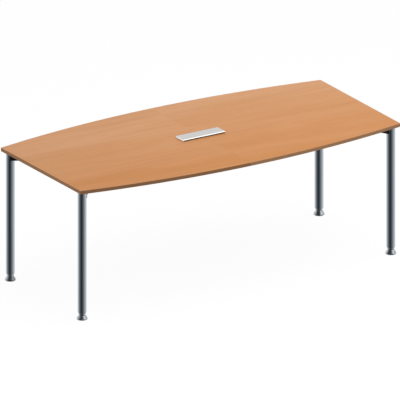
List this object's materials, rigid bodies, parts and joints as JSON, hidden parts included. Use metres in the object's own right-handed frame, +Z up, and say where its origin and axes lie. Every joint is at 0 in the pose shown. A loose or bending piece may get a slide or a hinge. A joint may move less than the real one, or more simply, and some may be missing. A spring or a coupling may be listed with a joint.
{
  "type": "conference table",
  "caption": "Boat-shaped conference table with a two-part wooden top, round chrome legs on screw levellers, a steel underframe and a hinged cable flap in the middle.",
  "frame": {"origin": "on the floor under the middle of the table", "axes": "+X along the table, +Y to the side with the flap's hinge, +Z up"},
  "size_m": [2, 1, 0.752],
  "materials": {
    "wood": "satin beech-coloured laminate, grain along the table",
    "edging": "glued wood-print edging, satin",
    "chrome": "polished chrome plate on steel",
    "black_steel": "fine-textured black powder coat",
    "black_plastic": "moulded, lightly grained",
    "zinc": "zinc-plated steel",
    "silver": "silver anodised, satin"
  },
  "bodies": {
    "table": {"board_left": "wood", "board_right": "wood", "board_screw_far_left_a": "zinc", "board_screw_far_left_b": "zinc", "board_screw_far_right_a": "zinc", "board_screw_far_right_b": "zinc", "board_screw_near_left_a": "zinc", "board_screw_near_left_b": "zinc", "board_screw_near_right_a": "zinc", "board_screw_near_right_b": "zinc", "corner_bracket_far_left": "black_steel", "corner_bracket_far_right": "black_steel", "corner_bracket_near_left": "black_steel", "corner_bracket_near_right": "black_steel", "edging_left": "edging", "edging_right": "edging", "end_rail_left": "black_steel", "end_rail_right": "black_steel", "flap_collar": "black_plastic", "flap_hinge_pin_left": "zinc", "flap_hinge_pin_right": "zinc", "flap_screw_1": "zinc", "flap_screw_2": "zinc", "flap_screw_3": "zinc", "flap_screw_4": "zinc", "leg_bolt_far_left": "zinc", "leg_bolt_far_right": "zinc", "leg_bolt_near_left": "zinc", "leg_bolt_near_right": "zinc", "leg_nut_plate_far_left": "zinc", "leg_nut_plate_far_right": "zinc", "leg_nut_plate_near_left": "zinc", "leg_nut_plate_near_right": "zinc", "leg_plug_far_left": "chrome", "leg_plug_far_right": "chrome", "leg_plug_near_left": "chrome", "leg_plug_near_right": "chrome", "leg_tube_far_left": "chrome", "leg_tube_far_right": "chrome", "leg_tube_near_left": "chrome", "leg_tube_near_right": "chrome", "long_rail_far": "black_steel", "long_rail_near": "black_steel", "seam_plate_far": "zinc", "seam_plate_near": "zinc", "spreader_left": "black_steel", "spreader_right": "black_steel"},
    "flap": {"flap_lid": "silver"},
    "foot_far_left": {"foot_pad_far_left": "chrome"},
    "stem_far_left": {"leveller_stem_far_left": "chrome"},
    "foot_near_left": {"foot_pad_near_left": "chrome"},
    "stem_near_left": {"leveller_stem_near_left": "chrome"},
    "foot_far_right": {"foot_pad_far_right": "chrome"},
    "stem_far_right": {"leveller_stem_far_right": "chrome"},
    "foot_near_right": {"foot_pad_near_right": "chrome"},
    "stem_near_right": {"leveller_stem_near_right": "chrome"}
  },
  "joints": [
    {"name": "flap_hinge", "type": "hinge", "parent": "table", "child": "flap", "pos_m": [0, 0.0337, 0.745], "axis": [-1, 0, 0], "range_deg": [0, 95]},
    {"name": "level_far_left", "type": "slide", "parent": "table", "child": "foot_far_left", "axis": [0, 0, 1], "range_m": [-0.015, 0.005]},
    {"name": "level_turn_far_left", "type": "hinge", "parent": "foot_far_left", "child": "stem_far_left", "pos_m": [-0.965, 0.359, 0], "axis": [0, 0, 1], "range_deg": [-3601, 1201]},
    {"name": "level_near_left", "type": "slide", "parent": "table", "child": "foot_near_left", "axis": [0, 0, 1], "range_m": [-0.015, 0.005]},
    {"name": "level_turn_near_left", "type": "hinge", "parent": "foot_near_left", "child": "stem_near_left", "pos_m": [-0.965, -0.359, 0], "axis": [0, 0, 1], "range_deg": [-3601, 1201]},
    {"name": "level_far_right", "type": "slide", "parent": "table", "child": "foot_far_right", "axis": [0, 0, 1], "range_m": [-0.015, 0.005]},
    {"name": "level_turn_far_right", "type": "hinge", "parent": "foot_far_right", "child": "stem_far_right", "pos_m": [0.965, 0.359, 0], "axis": [0, 0, 1], "range_deg": [-3601, 1201]},
    {"name": "level_near_right", "type": "slide", "parent": "table", "child": "foot_near_right", "axis": [0, 0, 1], "range_m": [-0.015, 0.005]},
    {"name": "level_turn_near_right", "type": "hinge", "parent": "foot_near_right", "child": "stem_near_right", "pos_m": [0.965, -0.359, 0], "axis": [0, 0, 1], "range_deg": [-3601, 1201]}
  ],
  "couplings": [
    {"joint": "level_turn_far_left", "follows": "level_far_left", "rad_per_m": 4188.8},
    {"joint": "level_turn_near_left", "follows": "level_near_left", "rad_per_m": 4188.8},
    {"joint": "level_turn_far_right", "follows": "level_far_right", "rad_per_m": 4188.8},
    {"joint": "level_turn_near_right", "follows": "level_near_right", "rad_per_m": 4188.8}
  ]
}
